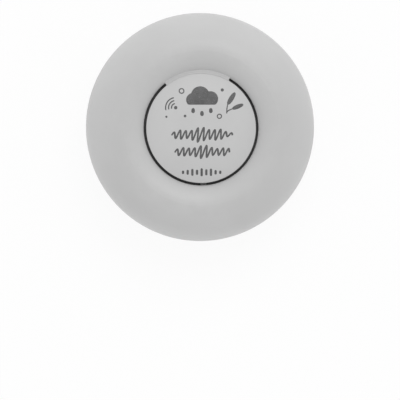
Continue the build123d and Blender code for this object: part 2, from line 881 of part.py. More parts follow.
def speaker_cone():
    """A shallow paper cone, from the surround in to the coil."""
    return turned_corners(
        (cone_rim_radius - surround_bond, flange_z),
        (cone_rim_radius, flange_z),
        (cone_rim_radius, flange_z + cone_thickness),
        (coil_outer_radius + cone_thickness, coil_z + cone_thickness),
        (coil_outer_radius, coil_z + cone_thickness),
        (coil_outer_radius, coil_z),
    )


def dust_cap():
    """A shallow dome that closes the front of the coil."""
    rim = coil_outer_radius
    bore = rim - cap_thickness
    front = coil_z - cap_height
    outer = ThreePointArc((-rim, coil_z), (0, front), (rim, coil_z)).trim(0.5, 1)
    inner = ThreePointArc((-bore, coil_z), (0, front + cap_thickness), (bore, coil_z)).trim(0.5, 1)
    rim_line = Line((rim, coil_z), (bore, coil_z))
    return turned(outer, inner, rim_line, Line((0, front), (0, front + cap_thickness)))


def cone_surround():
    """A rubber half roll between the cone's rim and the flange, with a flat lip on each."""
    front = flange_z - surround_thickness
    inner = cone_rim_radius - surround_bond
    outer = flange_radius - surround_lip_inset
    middle = Pos(roll_middle_radius, flange_z)
    skin = middle * Circle(roll_radius + surround_thickness / 2)
    hollow = middle * Circle(roll_radius - surround_thickness / 2)
    space = ring(inner, outer, front - 2 * roll_radius, flange_z)
    solid = revolve(Plane.XZ * skin.face(), Axis.Z) + ring(inner, outer, front, flange_z)
    return (solid - revolve(Plane.XZ * hollow.face(), Axis.Z)) & space


def coil_spider():
    """A thin corrugated ring that centres the coil, drawn as its flat envelope."""
    back = spider_z + spider_thickness
    return ring(coil_outer_radius, basket_inner_radius(back), spider_z, back)


def speaker_terminals():
    """A small strip on the flange with two solder lugs."""
    outer = flange_radius
    inner = outer - terminal_thickness
    top = flange_back_z + terminal_height
    half = terminal_width / 2
    strip = block((inner, outer), (-half, half), (flange_back_z, top))
    for side in (-1, 1):
        middle = side * lug_spacing / 2
        width = (middle - lug_width / 2, middle + lug_width / 2)
        strip += block((outer, outer + lug_reach), width, (top - lug_height, top))
    return strip & post((0, 0), outer + lug_reach, 0, crest_z)


# --- Main board -------------------------------------------------------------------------------------------


def board_sketch():
    """A segment of a circle, with an ear that reaches out under the socket."""
    reach = board_radius
    ear_width = board_ear_left + board_ear_right
    ear_middle = (board_ear_right - board_ear_left) / 2
    segment = Circle(reach) & Pos(0, -board_inner_edge - reach / 2) * Rectangle(2 * reach, reach)
    segment = fillet(segment.vertices().group_by(Axis.Y)[-1], board_corner)
    ear = Pos(ear_middle, -board_ear_reach / 2 - board_inner_edge / 2)
    return segment + ear * Rectangle(ear_width, board_ear_reach - board_inner_edge)


def main_board():
    board = upright_prism(board_sketch(), board_bottom_z, board_top_z)
    for place in board_boss_places():
        board -= post(place, case_screw_radius + clear_gap, 0, crest_z)
    return board


def board_screws():
    return [case_screw(place, board_bottom_z, case_screw_length) for place in board_boss_places()]


def socket_shell():
    """The socket's folded metal sleeve, open to -Y."""
    front_y = socket_setback - body_radius
    plane = Plane(origin=(0, front_y, port_z), x_dir=(1, 0, 0), z_dir=(0, -1, 0))
    outside = extrude(plane * SlotOverall(socket_width, socket_height), -socket_length)
    bore = SlotOverall(socket_width - 2 * socket_wall, socket_height - 2 * socket_wall)
    return outside - extrude(plane * bore, -(socket_length - socket_wall))


def socket_tongue():
    """The moulded tongue with the contacts, on its back block."""
    back_y = socket_setback - body_radius + socket_length - socket_wall
    block_y = back_y - socket_back_thickness
    tongue_y = socket_setback + tongue_setback - body_radius
    plane = Plane(origin=(0, block_y, port_z), x_dir=(1, 0, 0), z_dir=(0, -1, 0))
    back = SlotOverall(socket_width - 2 * socket_wall, socket_height - 2 * socket_wall)
    solid = extrude(plane * back, -socket_back_thickness)
    half = tongue_width / 2
    thick = (port_z - tongue_thickness / 2, port_z + tongue_thickness / 2)
    return solid + block((-half, half), (tongue_y, block_y), thick)


def light_front_y():
    """Where the light pipe's face lies, behind the case's curved wall."""
    return light_setback - math.sqrt(body_radius**2 - light_offset**2)


def led_light_pipe():
    start = Plane(origin=(light_offset, light_front_y(), port_z), x_dir=(1, 0, 0), z_dir=(0, 1, 0))
    return extrude(start * Circle(light_radius), light_length)


def charge_led():
    near = light_front_y() + light_length
    half = led_width / 2
    wide = (light_offset - half, light_offset + half)
    return block(wide, (near, near + led_depth), (board_top_z, board_top_z + led_height))


def switch_body():
    half = switch_side / 2
    solid = block((-half, half), (-stem_offset - half, -stem_offset + half), (board_top_z, switch_top_z))
    floor = switch_top_z - plunger_depth - plunger_travel - switch_floor_gap
    return solid - post((0, -stem_offset), plunger_radius + plunger_gap, floor, crest_z)


def switch_plunger():
    return post((0, -stem_offset), plunger_radius, switch_top_z - plunger_depth, plunger_top_z)


def chip(place, length, pins):
    """A moulded chip with a row of flat legs down each long side."""
    x, y = place
    top = board_top_z + chip_height
    side = chip_width / 2
    leg_width = chip_leg_share * length / pins
    solid = block((x - length / 2, x + length / 2), (y - side, y + side), (board_top_z + chip_lift, top))
    for index in range(pins):
        leg_x = x - length / 2 + length * (index + 0.5) / pins
        wide = (leg_x - leg_width / 2, leg_x + leg_width / 2)
        deep = (y - side - chip_leg_reach, y + side + chip_leg_reach)
        solid += block(wide, deep, (board_top_z, board_top_z + 2 * chip_lift))
    return solid


def power_inductor():
    place = polar(board_radius - inductor_inset, inductor_azimuth)
    base = Pos(*place) * RectangleRounded(inductor_side, inductor_side, inductor_round)
    drum = upright_prism(base, board_top_z, board_top_z + inductor_height)
    top = drum.faces().sort_by(Axis.Z)[-1]
    return chamfer(top.edges(), inductor_chamfer)


def board_capacitors():
    """Round electrolytic cans on their square feet."""
    half = can_radius + can_foot_margin
    cans = []
    for azimuth in can_azimuths:
        x, y = polar(board_radius - can_inset, azimuth)
        foot = block((x - half, x + half), (y - half, y + half), (board_top_z, board_top_z + can_foot))
        cans.append(foot + post((x, y), can_radius, board_top_z, board_top_z + can_height))
    return cans


def chip_resistors():
    """Two rows of small ceramic parts."""
    width, depth, height = resistor_size
    middle_z = board_top_z + height / 2
    places = [(x, resistor_row_y) for x in near_resistor_columns]
    places += [(x, far_row_y) for x in far_resistor_columns]
    return [Pos(x, y, middle_z) * Box(width, depth, height) for x, y in places]


# --- Connectors and leads ---------------------------------------------------------------------------------


def header(x):
    """A board socket with two contacts, open to +Y."""
    near = -board_inner_edge - header_setback
    half = header_width / 2
    top = board_top_z + header_height
    solid = block((x - half, x + half), (near - header_depth, near), (board_top_z, top))
    inside = half - header_wall
    pocket = (near - header_depth + header_wall, near + overshoot)
    return solid - block((x - inside, x + inside), pocket, (board_top_z + header_wall, top - header_wall))


def plug_front_y():
    return plug_out - board_inner_edge - header_setback


def plug(x):
    """The plug in that socket, with its leads' face to +Y."""
    half = header_width / 2 - header_wall - plug_gap
    back = -board_inner_edge - header_setback - header_depth + header_wall + plug_gap
    low = board_top_z + header_wall + plug_gap
    high = board_top_z + header_height - header_wall - plug_gap
    return block((x - half, x + half), (back, plug_front_y()), (low, high))


def lead_height():
    return board_top_z + header_height / 2


def speaker_lead(side):
    """From a terminal lug up to the speaker's plug: -1 is the lead nearer the board."""
    start_x = flange_radius + lug_reach
    start_y = side * lug_spacing / 2
    start_z = flange_back_z + terminal_height - lug_height / 2
    spread = side * speaker_lead_spread
    end_x = header_offset + side * lead_pitch / 2
    end_z = lead_height()
    return lead(
        (
            (start_x, start_y, start_z),
            (start_x + speaker_lead_out + spread, start_y, start_z),
            (end_x + speaker_lead_turn_x + spread, start_y - speaker_lead_turn_y, (start_z + end_z) / 2),
            (end_x, start_y - speaker_lead_end_y - spread, end_z),
            (end_x, plug_front_y(), end_z),
        )
    )


def battery_lead(side):
    """From the cell's tab end to the battery's plug: -1 is the outer lead."""
    start_x = cell_lead_x + side * lead_pitch
    start_y = cell_inner_edge
    start_z = cell_z + cell_lead_rise
    end_x = side * lead_pitch / 2 - header_offset
    end_z = lead_height()
    turn_z = start_z + battery_lead_fall * (end_z - start_z)
    return lead(
        (
            (start_x, start_y, start_z),
            (start_x, start_y - battery_lead_out, start_z),
            (start_x - battery_lead_turn_x, start_y - battery_lead_turn_y, turn_z),
            (end_x, start_y - battery_lead_end_y, end_z),
            (end_x, plug_front_y(), end_z),
        )
    )


# --- Battery ----------------------------------------------------------------------------------------------


def tray_places():
    return [(-tray_ear_offset, cell_middle_y), (tray_ear_offset, cell_middle_y)]


def battery_cell():
    cell = Pos(0, cell_middle_y, cell_z + cell_height / 2) * Box(cell_length, cell_width, cell_height)
    return fillet(cell.edges(), cell_round)


def battery_tape():
    half = cell_length / 2 - 2 * cell_round
    depth = cell_width / 2 - 2 * cell_round
    return block((-half, half), (cell_middle_y - depth, cell_middle_y + depth), (tray_z, cell_z))


def battery_tray():
    """A shallow tray under the cell, with an ear at each end for its screw."""
    half = cell_length / 2 + tray_gap
    depth = cell_width / 2 + tray_gap
    middle = cell_middle_y
    grown = (half + tray_wall, depth + tray_wall)
    outside = ((-grown[0], grown[0]), (middle - grown[1], middle + grown[1]))
    tray = block(*outside, (tray_z - tray_floor, tray_z + tray_wall_height))
    inside = ((-half, half), (middle - depth, middle + depth))
    tray -= block(*inside, (tray_z, tray_z + tray_wall_height))
    strap = (middle - tray_ear_radius, middle + tray_ear_radius)
    ears = block((-tray_ear_offset, tray_ear_offset), strap, (tray_z - tray_floor, tray_z))
    for place in tray_places():
        ears += post(place, tray_ear_radius, tray_z - tray_floor, tray_z)
    tray += ears - block(*inside, (tray_z, crest_z))
    for place in tray_places():
        tray -= post(place, case_screw_radius + clear_gap, 0, tray_z)
    return tray


def tray_screws():
    return [case_screw(place, tray_z - tray_floor, case_screw_length) for place in tray_places()]


# --- Every piece, by its node's name ----------------------------------------------------------------------

pieces = {
    "top_cover": top_cover(),
    "bottom_shell": bottom_shell(),
    "foot_ring": foot_ring(),
    "vent_cloth": vent_cloth(),
    "gap_skirt": gap_skirt(),
    "press_disc": press_disc(),
    "disc_leaf_spring": disc_leaf_spring(),
    "leaf_screws_disc": leaf_screws(-1),
    "leaf_screws_cover": leaf_screws(1),
    "speaker_plate": speaker_plate(),
    "plate_screws": plate_screws(),
    "speaker_gasket": speaker_gasket(),
    "speaker_basket": speaker_basket(),
    "speaker_screws": speaker_screws(),
    "speaker_pot": speaker_pot(),
    "speaker_magnet": speaker_magnet(),
    "speaker_pole_plate": speaker_pole_plate(),
    "voice_coil": voice_coil(),
    "speaker_cone": speaker_cone(),
    "dust_cap": dust_cap(),
    "cone_surround": cone_surround(),
    "coil_spider": coil_spider(),
    "speaker_terminals": speaker_terminals(),
    "speaker_lead_black": speaker_lead(-1),
    "speaker_lead_red": speaker_lead(1),
    "speaker_header": header(header_offset),
    "speaker_plug": plug(header_offset),
    "main_board": main_board(),
    "board_screws": board_screws(),
    "socket_shell": socket_shell(),
    "socket_tongue": socket_tongue(),
    "charge_led": charge_led(),
    "led_light_pipe": led_light_pipe(),
    "switch_body": switch_body(),
    "switch_plunger": switch_plunger(),
    "sound_chip": chip((sound_chip_x, chip_row_y), long_chip_length, long_chip_pins),
    "memory_chip": chip((memory_chip_x, chip_row_y), short_chip_length, short_chip_pins),
    "amplifier_chip": chip((amplifier_chip_x, chip_row_y), short_chip_length, short_chip_pins),
    "power_inductor": power_inductor(),
    "board_capacitors": board_capacitors(),
    "chip_resistors": chip_resistors(),
    "battery_cell": battery_cell(),
    "battery_tape": battery_tape(),
    "battery_tray": battery_tray(),
    "tray_screws": tray_screws(),
    "battery_lead_black": battery_lead(-1),
    "battery_lead_red": battery_lead(1),
    "battery_header": header(-header_offset),
    "battery_plug": plug(-header_offset),
}

os.makedirs("parts", exist_ok=True)
for name, solid in pieces.items():
    shape = Compound(children=solid) if isinstance(solid, list) else solid
    export_step(shape, f"parts/{name}.step")

hinge_place = (*polar(hinge_radius, hinge_azimuth), leaf_top_z - leaf_thickness / 2)
stem_lever = hinge_radius + stem_offset * math.sin(math.radians(hinge_azimuth))
print("hinge line passes", [round(value, 4) for value in hinge_place], "azimuth", hinge_azimuth)
print("plunger travel per radian", round(stem_lever, 4), "height", round(crest_z, 3))
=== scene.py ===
"""A puck-shaped sound machine with a domed press disc, on a pale floor in soft studio light."""

import json
import math

import bpy
import numpy as np
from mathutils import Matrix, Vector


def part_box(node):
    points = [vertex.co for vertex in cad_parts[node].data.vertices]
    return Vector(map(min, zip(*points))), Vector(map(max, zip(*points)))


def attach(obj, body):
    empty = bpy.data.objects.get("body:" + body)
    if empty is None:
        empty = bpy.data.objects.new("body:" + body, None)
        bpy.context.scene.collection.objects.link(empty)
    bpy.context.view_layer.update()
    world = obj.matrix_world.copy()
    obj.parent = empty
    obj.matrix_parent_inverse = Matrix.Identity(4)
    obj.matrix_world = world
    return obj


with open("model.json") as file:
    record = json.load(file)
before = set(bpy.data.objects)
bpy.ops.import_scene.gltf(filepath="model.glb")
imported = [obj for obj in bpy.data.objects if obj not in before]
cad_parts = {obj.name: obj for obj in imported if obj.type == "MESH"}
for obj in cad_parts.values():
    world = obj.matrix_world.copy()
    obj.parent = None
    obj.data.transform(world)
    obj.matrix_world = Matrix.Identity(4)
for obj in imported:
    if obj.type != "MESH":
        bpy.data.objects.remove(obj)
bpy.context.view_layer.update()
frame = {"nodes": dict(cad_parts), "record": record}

MM = 0.001

# The press disc's dome, in millimetres: its crown, its edge's radius, and its fall as (power, size) terms
DOME_CROWN = 45.1
DOME_RADIUS = 22.4
DOME_FALLS = ((2, 0.462), (5, 5.21844), (8, -9.28898), (9, 5.80658))


# --- Surfaces ---------------------------------------------------------------------------------------------


def grid_quads(rows, columns, wrap_rows=False):
    """Corner numbers of the quads between neighbouring rows of a grid, whose columns go all round."""
    down = np.arange(rows if wrap_rows else rows - 1)
    row, column = np.meshgrid(down, np.arange(columns), indexing="ij")
    next_row = (row + 1) % rows
    next_column = (column + 1) % columns
    corners = (row * columns + column, next_row * columns + column)
    corners += (next_row * columns + next_column, row * columns + next_column)
    return np.stack([corner.ravel() for corner in corners], axis=1)


def joined(parts):
    """Several (points, faces) pairs as one, with the later faces' numbers moved up."""
    points, faces, start = [], [], 0
    for part_points, part_faces in parts:
        points.append(part_points)
        faces += [[corner + start for corner in face] for face in part_faces]
        start += len(part_points)
    return np.concatenate(points), faces


def surface_piece(name, shape, body, slot):
    """A mesh object from points in millimetres and faces, riding on a body, in the finish of a slot."""
    points, faces = shape
    mesh = bpy.data.meshes.new(name)
    mesh.from_pydata((points * MM).tolist(), [], faces)
    mesh.materials.append(FINISHES[slot])
    mesh.update()
    piece = bpy.data.objects.new(name, mesh)
    bpy.context.scene.collection.objects.link(piece)
    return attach(piece, body)


def dome_height(x, y):
    """The disc's top: its crown less the sum of size * u^power, with u the radius over the edge's radius."""
    share = np.hypot(x, y) / DOME_RADIUS
    return DOME_CROWN - sum(size * share**power for power, size in DOME_FALLS)


# --- The print --------------------------------------------------------------------------------------------

# In millimetres. The ink stands proud of the disc by INK_LIFT and is sunk into it by INK_SINK
INK_LIFT = 0.015
INK_SINK = 0.05
RIPPLE_WIDTH = 0.5
FINE_WIDTH = 0.46
BAR_WIDTH = 0.95
WAVE_WIDTH = 0.75

# How far the waves lean forward for each millimetre that they rise
WAVE_LEAN = 0.22


def on_dome(flat, lift):
    """Points of the plane, raised to the disc's top and lifted off it."""
    x, y = flat[..., 0], flat[..., 1]
    return np.stack([x, y, dome_height(x, y) + lift], axis=-1)


def ribbon(path, width, closed=False):
    """An ink line: a flat section of four corners, carried along a path on the dome.

    The half width at a distance d from a free end is h * sqrt(1 - (1 - d / h)^2) for d < h, so the end is
    round. Near an end the sections stand at d = h * (1 - cos a), for angles a up to a right angle.
    """
    half = width / 2
    end_angles = np.linspace(0.2, math.pi / 2, 6)
    spacing = 0.12
    if closed:
        ahead, behind = np.roll(path, -1, axis=0), np.roll(path, 1, axis=0)
        along = ahead - behind
        halves = np.full(len(path), half)
    else:
        lengths = np.concatenate([[0], np.cumsum(np.hypot(*np.diff(path, axis=0).T))])
        whole = lengths[-1]
        cap = half * (1 - np.cos(end_angles))
        middle = np.linspace(half, whole - half, max(3, int(whole / spacing)))[1:-1]
        spots = np.concatenate([cap, middle, whole - cap[::-1]])
        path = np.stack([np.interp(spots, lengths, path[:, axis]) for axis in (0, 1)], axis=1)
        along = np.gradient(path, spots, axis=0)
        inward = np.clip(np.minimum(spots, whole - spots) / half, 0, 1)
        halves = half * np.sqrt(1 - (1 - inward) ** 2)
    along = along / np.linalg.norm(along, axis=1, keepdims=True)
    side = np.stack([-along[:, 1], along[:, 0]], axis=1) * halves[:, None]
    left, right = path + side, path - side
    corners = [on_dome(left, -INK_SINK), on_dome(left, INK_LIFT)]
    corners += [on_dome(right, INK_LIFT), on_dome(right, -INK_SINK)]
    points = np.stack(corners, axis=1).reshape(-1, 3)
    faces = grid_quads(len(path), 4, wrap_rows=closed).tolist()
    if not closed:
        last = 4 * (len(path) - 1)
        faces += [[0, 1, 2, 3], [last + 3, last + 2, last + 1, last]]
    return points, [face[::-1] for face in faces]


def blot(centre, reach):
    """A filled shape on the dome: rings round a centre, over the top and back under.

    A ring's radius is share * reach(angle), with a share of 1 at the outline. The underside repeats the
    outline and closes on one point.
    """
    count = 96
    shares = np.linspace(0.15, 1, 7)
    angles = np.linspace(0, 2 * math.pi, count, endpoint=False)
    rays = np.stack([np.cos(angles), np.sin(angles)], axis=1) * reach(angles)[:, None]
    centre = np.array(centre, float)
    rings = [on_dome(centre + share * rays, INK_LIFT) for share in shares]
    rings.append(on_dome(centre + rays, -INK_SINK))
    poles = [on_dome(centre, INK_LIFT), on_dome(centre, -INK_SINK)]
    points = np.concatenate([np.concatenate(rings), np.stack(poles)])
    faces = grid_quads(len(rings), count).tolist()
    top, bottom = len(rings) * count, len(rings) * count + 1
    last = (len(rings) - 1) * count
    faces += [[top, k, (k + 1) % count] for k in range(count)]
    faces += [[bottom, last + (k + 1) % count, last + k] for k in range(count)]
    return points, faces


def cloud_reach(lobes, base):
    """A cloud: from the centre to the far side of the outermost round lobe, cut off by a level base.

    The far side of a lobe at (x, y) with radius r, at an angle a, is p + sqrt(p^2 - x^2 - y^2 + r^2), with
    p = x cos a + y sin a. The base is at base / sin a, for the angles that point down.
    """
    shallow = -0.02  # the sine past which an angle points down

    def reach(angles):
        out = np.zeros_like(angles)
        for x, y, radius in lobes:
            along = x * np.cos(angles) + y * np.sin(angles)
            inside = along**2 - (x**2 + y**2) + radius**2
            out = np.maximum(out, np.where(inside > 0, along + np.sqrt(np.maximum(inside, 0)), 0))
        downward = np.sin(angles) < shallow
        level = np.where(downward, base / np.minimum(np.sin(angles), shallow), np.inf)
        return np.minimum(out, level)

    return reach


def drop_reach(size):
    """A drop: a circle with its top drawn out, r = size * (1 + 0.9 * u^6), with u = (1 + sin a) / 2."""
    return lambda angles: size * (1 + 0.9 * ((1 + np.sin(angles)) / 2) ** 6)


def leaf_reach(long, wide, tilt):
    """A leaf: an ellipse with half axes long and wide, times 0.82 + 0.18 * |cos a|^8 to point its tips."""

    def reach(angles):
        turned = angles - math.radians(tilt)
        ellipse = 1 / np.sqrt((np.cos(turned) / long) ** 2 + (np.sin(turned) / wide) ** 2)
        return ellipse * (0.82 + 0.18 * np.abs(np.cos(turned)) ** 8)

    return reach


def arc(centre, radius, start, end):
    """Points of a circular arc between two angles in degrees."""
    angles = np.radians(np.linspace(start, end, 48))
    return np.array(centre) + radius * np.stack([np.cos(angles), np.sin(angles)], axis=1)


def circle(centre, radius):
    """Points of a whole circle, x = radius * cos a and y = radius * sin a about its centre."""
    angles = np.linspace(0, 2 * math.pi, 64, endpoint=False)
    return np.array(centre) + radius * np.stack([np.cos(angles), np.sin(angles)], axis=1)


def wave_line(start, end, level, swell, cycles):
    """A sound wave drawn with a round nib, leaning forward by a fifth of its rise.

    The line is f(u) = swell(u) * sin(2 pi * cycles * u), with u from 0 at its start to 1 at its end. Its
    upper edge at x is the most of f + sqrt(h^2 - t^2) at x + t for |t| <= h, the nib's half width, and its
    lower edge is the least of f - sqrt(h^2 - t^2). The ink fills the band between the edges, over the top and
    back under.
    """
    columns, rows, nib_steps = 640, 9, 61
    half = WAVE_WIDTH / 2
    reach = 0.97 * half
    x = np.linspace(start - reach, end + reach, columns)
    across = half * np.sin(np.linspace(-math.pi / 2, math.pi / 2, nib_steps))
    nib = np.sqrt(half**2 - across**2)
    u = (x[:, None] + across - start) / (end - start)
    line = swell(u) * np.sin(2 * math.pi * cycles * u)
    drawn = (u >= 0) & (u <= 1)
    upper = np.where(drawn, line + nib, -np.inf).max(axis=1, keepdims=True)
    lower = np.where(drawn, line - nib, np.inf).min(axis=1, keepdims=True)
    rise = lower + (upper - lower) * np.linspace(0, 1, rows)
    flat = np.stack([x[:, None] + WAVE_LEAN * rise, level + rise], axis=-1)
    rings = np.concatenate([on_dome(flat, INK_LIFT), on_dome(flat[:, ::-1], -INK_SINK)], axis=1)
    around = 2 * rows
    faces = grid_quads(columns, around).tolist()
    first, last = list(range(around)), list(range((columns - 1) * around, columns * around))
    return rings.reshape(-1, 3), faces + [first, last[::-1]]


def upper_swell(u):
    """Half height of the upper wave: 0.6 + 1.4 sin^2(pi u) + 0.95 cos^2(3 pi (u - 0.12))."""
    return 0.6 + 1.4 * np.sin(math.pi * u) ** 2 + 0.95 * np.cos(2 * math.pi * 1.5 * (u - 0.12)) ** 2


def lower_swell(u):
    """Half height of the lower wave: 0.55 + 1.2 sin^2(pi u) + 0.85 sin^2(2.5 pi (u + 0.08))."""
    return 0.55 + 1.2 * np.sin(math.pi * u) ** 2 + 0.85 * np.sin(2 * math.pi * 1.25 * (u + 0.08)) ** 2


def level_bars():
    """A row of upright strokes with round ends: straight lines, each as long as its height and its width."""
    level = -18.0
    heights = (0.5, 1.1, 1.9, 1.2, 2.4, 1.6, 2.1, 0.9, 0.5)
    places = np.linspace(-7.4, 7.8, len(heights))
    along = np.linspace(-0.5, 0.5, 24)
    strokes = []
    for x, height in zip(places, heights):
        line = np.stack([np.full_like(along, x), along * (height + BAR_WIDTH) + level], axis=1)
        strokes.append(ribbon(line, BAR_WIDTH))
    return joined(strokes)


def small_motifs():
    """Ripples, rings, dots and a sprig: arcs, circles, round blots, two leaves and two bent lines."""
    source = (-10.4, 8.4)
    ripples = [ribbon(arc(source, radius, 100, 195), RIPPLE_WIDTH) for radius in (1.7, 2.9, 4.1)]
    ring_sizes = (((-8.0, 15.2), 0.95), ((7.4, 4.9), 0.85))
    rings = [ribbon(circle(place, radius), FINE_WIDTH, closed=True) for place, radius in ring_sizes]
    dot_sizes = ((source, 0.7), ((-6.6, 5.0), 0.55), ((8.6, 15.6), 0.65), ((-14.2, 4.7), 0.45))
    dots = [blot(place, lambda angles, size=size: np.full_like(angles, size)) for place, size in dot_sizes]
    leaves = [blot((12.3, 12.1), leaf_reach(2.9, 1.2, 58)), blot((14.9, 8.8), leaf_reach(2.5, 1.05, 22))]
    stalk = np.array([(10.4, 6.0), (10.4, 7.0), (10.5, 8.2), (10.8, 9.8)])
    twig = np.array([(10.4, 6.6), (11.2, 7.3), (12.6, 7.9)])
    return joined(ripples + rings + dots + leaves + [ribbon(stalk, FINE_WIDTH), ribbon(twig, FINE_WIDTH)])


def rain_cloud():
    """A cloud of four round lobes, each (x, y, radius) from its centre, over three drops."""
    lobes = ((-3.8, -1.0, 2.75), (-0.8, 0.7, 3.8), (3.4, -0.6, 3.1), (-0.3, -1.2, 2.6))
    drops = [blot(place, drop_reach(0.72)) for place in ((-3.3, 6.9), (0.3, 5.7), (3.9, 6.9))]
    return joined([blot((0.4, 12.6), cloud_reach(lobes, base=-3.0))] + drops)


# --- Shared effects ---------------------------------------------------------------------------------------


class Tree:
    """A node tree that is filled step by step: each call adds one node, and most give its output."""

    def __init__(self, tree):
        self.tree = tree

    def add(self, kind, settings=None, **inputs):
        """A node with settings, and inputs by name, with _ for a space, or by number, as _0."""
        node = self.tree.nodes.new(kind)
        for name, value in (settings or {}).items():
            setattr(node, name, value)
        for name, value in inputs.items():
            key = int(name[1:]) if name[0] == "_" and name[1:].isdigit() else name.replace("_", " ")
            self.feed(node.inputs[key], value)
        return node

    def feed(self, socket, value):
        """A link to a socket, or a plain value on it."""
        if isinstance(value, bpy.types.NodeSocket):
            self.tree.links.new(value, socket)
        else:
            socket.default_value = value

    def math(self, operation, first, second=0.0):
        return self.add("ShaderNodeMath", {"operation": operation}, _0=first, _1=second).outputs[0]

    def vector(self, operation, first, second):
        return self.add("ShaderNodeVectorMath", {"operation": operation}, _0=first, _1=second).outputs[0]

    def spread(self, value, low, high, to_low=0.0, to_high=1.0):
        """A value carried from one range to another with a soft start and end."""
        node = self.add("ShaderNodeMapRange", {"interpolation_type": "SMOOTHSTEP"}, Value=value)
        for name, limit in (("From Min", low), ("From Max", high), ("To Min", to_low), ("To Max", to_high)):
            self.feed(node.inputs[name], limit)
        return node.outputs[0]

    def blend(self, share, first, second):
        """A colour between two others, by a share from 0 to 1."""
        node = self.add("ShaderNodeMix", {"data_type": "RGBA"})
        for index, value in ((0, share), (6, first), (7, second)):
            self.feed(node.inputs[index], value)
        return node.outputs[2]

    def millimetres(self):
        """The place on the piece, in millimetres."""
        place = self.add("ShaderNodeTexCoord").outputs["Object"]
        return self.vector("MULTIPLY", place, (1000, 1000, 1000))


def effect(name, inputs, outputs, fill):
    """A shader node group. inputs are defaults by name, outputs are names, and fill joins them up."""
    group = bpy.data.node_groups.new(name, "ShaderNodeTree")
    for label, default in inputs.items():
        socket = group.interface.new_socket(label, in_out="INPUT", socket_type="NodeSocketFloat")
        socket.default_value = default
    for label in outputs:
        group.interface.new_socket(label, in_out="OUTPUT", socket_type="NodeSocketFloat")
    tree = Tree(group)
    source = group.nodes.new("NodeGroupInput")
    sink = group.nodes.new("NodeGroupOutput")
    for label, value in fill(tree, source.outputs).items():
        tree.feed(sink.inputs[label], value)
    return group


def fill_moulded_grain(tree, given):
    """Spark-eroded mould texture: soft noise cells with finer pits between them."""
    place = tree.millimetres()
    rate = tree.math("DIVIDE", 1.0, given["Cell"])
    cells = tree.add("ShaderNodeTexNoise", Vector=place, Scale=rate, Detail=3.0, Roughness=0.6).outputs[0]
    fine = tree.math("MULTIPLY", rate, 2.7)
    soft = {"feature": "SMOOTH_F1"}
    pits = tree.add("ShaderNodeTexVoronoi", soft, Vector=place, Scale=fine, Smoothness=0.6)
    pit = tree.math("MULTIPLY", pits.outputs["Distance"], 0.45)
    return {"Height": tree.math("SUBTRACT", cells, pit)}


def fill_drift(tree, given):
    """A slow, faint change of tone over a moulding, as its flow and cooling leave it."""
    place = tree.millimetres()
    rate = tree.math("DIVIDE", 1.0, given["Span"])
    slow = tree.add("ShaderNodeTexNoise", Vector=place, Scale=rate, Detail=2.0, Roughness=0.45).outputs[0]
    return {"Value": tree.spread(slow, 0.3, 0.7, -1.0, 1.0)}


def fill_handling(tree, given):
    """Where fingers land: 1 on a ring about the upright axis, broken up by noise, and 0 away from it."""
    place = tree.millimetres()
    flat = tree.vector("MULTIPLY", place, (1, 1, 0))
    radius = tree.add("ShaderNodeVectorMath", {"operation": "LENGTH"}, _0=flat).outputs["Value"]
    away = tree.math("ABSOLUTE", tree.math("SUBTRACT", radius, given["Radius"]))
    band = tree.spread(tree.math("DIVIDE", away, given["Width"]), 0.15, 1.0, 1.0, 0.0)
    patches = tree.add("ShaderNodeTexNoise", Vector=place, Scale=0.16, Detail=4.0, Roughness=0.6).outputs[0]
    return {"Mask": tree.math("MULTIPLY", band, tree.spread(patches, 0.38, 0.66))}


def fill_dust(tree, given):
    """Fine specks on the faces that look up."""
    place = tree.millimetres()
    specks = tree.add("ShaderNodeTexVoronoi", Vector=place, Scale=0.9, Randomness=1.0)
    grains = tree.spread(specks.outputs["Distance"], 0.03, 0.09, 1.0, 0.0)
    thin = tree.add("ShaderNodeTexNoise", Vector=place, Scale=0.35, Detail=2.0).outputs[0]
    normal = tree.add("ShaderNodeNewGeometry").outputs["Normal"]
    upward = tree.spread(tree.add("ShaderNodeSeparateXYZ", _0=normal).outputs[2], 0.2, 0.9)
    some = tree.math("MULTIPLY", grains, tree.spread(thin, 0.52, 0.7))
    return {"Mask": tree.math("MULTIPLY", tree.math("MULTIPLY", some, upward), given["Amount"])}


def fill_drawn_lines(tree, given):
    """Rolling or drawing lines along X: noise drawn out to twenty times its width."""
    stretched = tree.vector("MULTIPLY", tree.millimetres(), (0.05, 1.0, 1.0))
    rate = tree.math("DIVIDE", 1.0, given["Pitch"])
    lines = tree.add("ShaderNodeTexNoise", Vector=stretched, Scale=rate, Detail=4.0, Roughness=0.7)
    return {"Value": lines.outputs[0]}


def fill_weave(tree, given):
    """Plain weave: threads round the axis and upright ones, each a sine, that cross like a chequerboard."""
    band_radius = 38.0
    parts = tree.add("ShaderNodeSeparateXYZ", _0=tree.millimetres()).outputs
    turn = tree.math("ARCTAN2", parts[1], parts[0])
    around = tree.math("MULTIPLY", turn, band_radius)
    rate = tree.math("DIVIDE", math.pi, given["Thread"])
    warp = tree.math("SINE", tree.math("MULTIPLY", around, rate))
    weft = tree.math("SINE", tree.math("MULTIPLY", parts[2], rate))
    over = tree.math("MULTIPLY", warp, weft)
    ridge = tree.math("MAXIMUM", tree.math("ABSOLUTE", warp), tree.math("ABSOLUTE", weft))
    height = tree.math("ADD", ridge, tree.math("MULTIPLY", over, 0.35))
    return {"Height": height, "Mask": tree.spread(over, -0.6, 0.6)}


